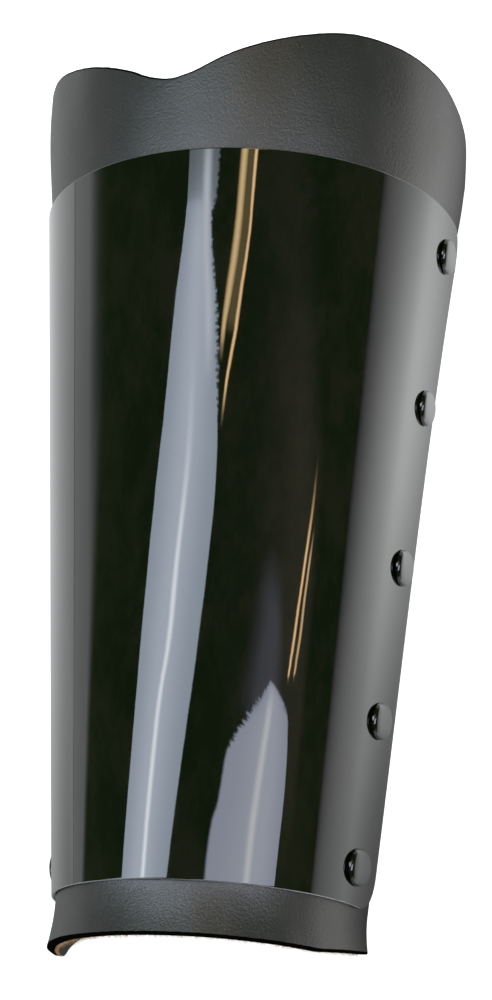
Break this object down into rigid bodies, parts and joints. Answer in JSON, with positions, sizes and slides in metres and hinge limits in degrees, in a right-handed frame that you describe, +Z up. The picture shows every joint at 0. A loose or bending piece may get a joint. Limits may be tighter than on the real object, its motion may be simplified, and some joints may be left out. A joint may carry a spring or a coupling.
{
  "type": "leather and metal forearm bracer",
  "caption": "Open-backed forearm bracer: a bent leather wall with a riveted glossy black steel plate, lying on its two long edges.",
  "frame": {"origin": "on the surface that it lies on, under the middle of its overall box", "axes": "+Y along the forearm from the wrist to the elbow, +Z up through the back of the forearm, +X to the right"},
  "size_m": [0.1174, 0.2348, 0.0738],
  "materials": {
    "leather": "dyed black, fine grain, soft sheen",
    "plate": "mirror-gloss black enamel on steel sheet",
    "rivet": "glossy black"
  },
  "bodies": {
    "root": {"leather_body": "leather", "plate": "plate", "rivet_left_1": "rivet", "rivet_left_2": "rivet", "rivet_left_3": "rivet", "rivet_left_4": "rivet", "rivet_left_5": "rivet", "rivet_right_1": "rivet", "rivet_right_2": "rivet", "rivet_right_3": "rivet", "rivet_right_4": "rivet", "rivet_right_5": "rivet"}
  },
  "joints": []
}
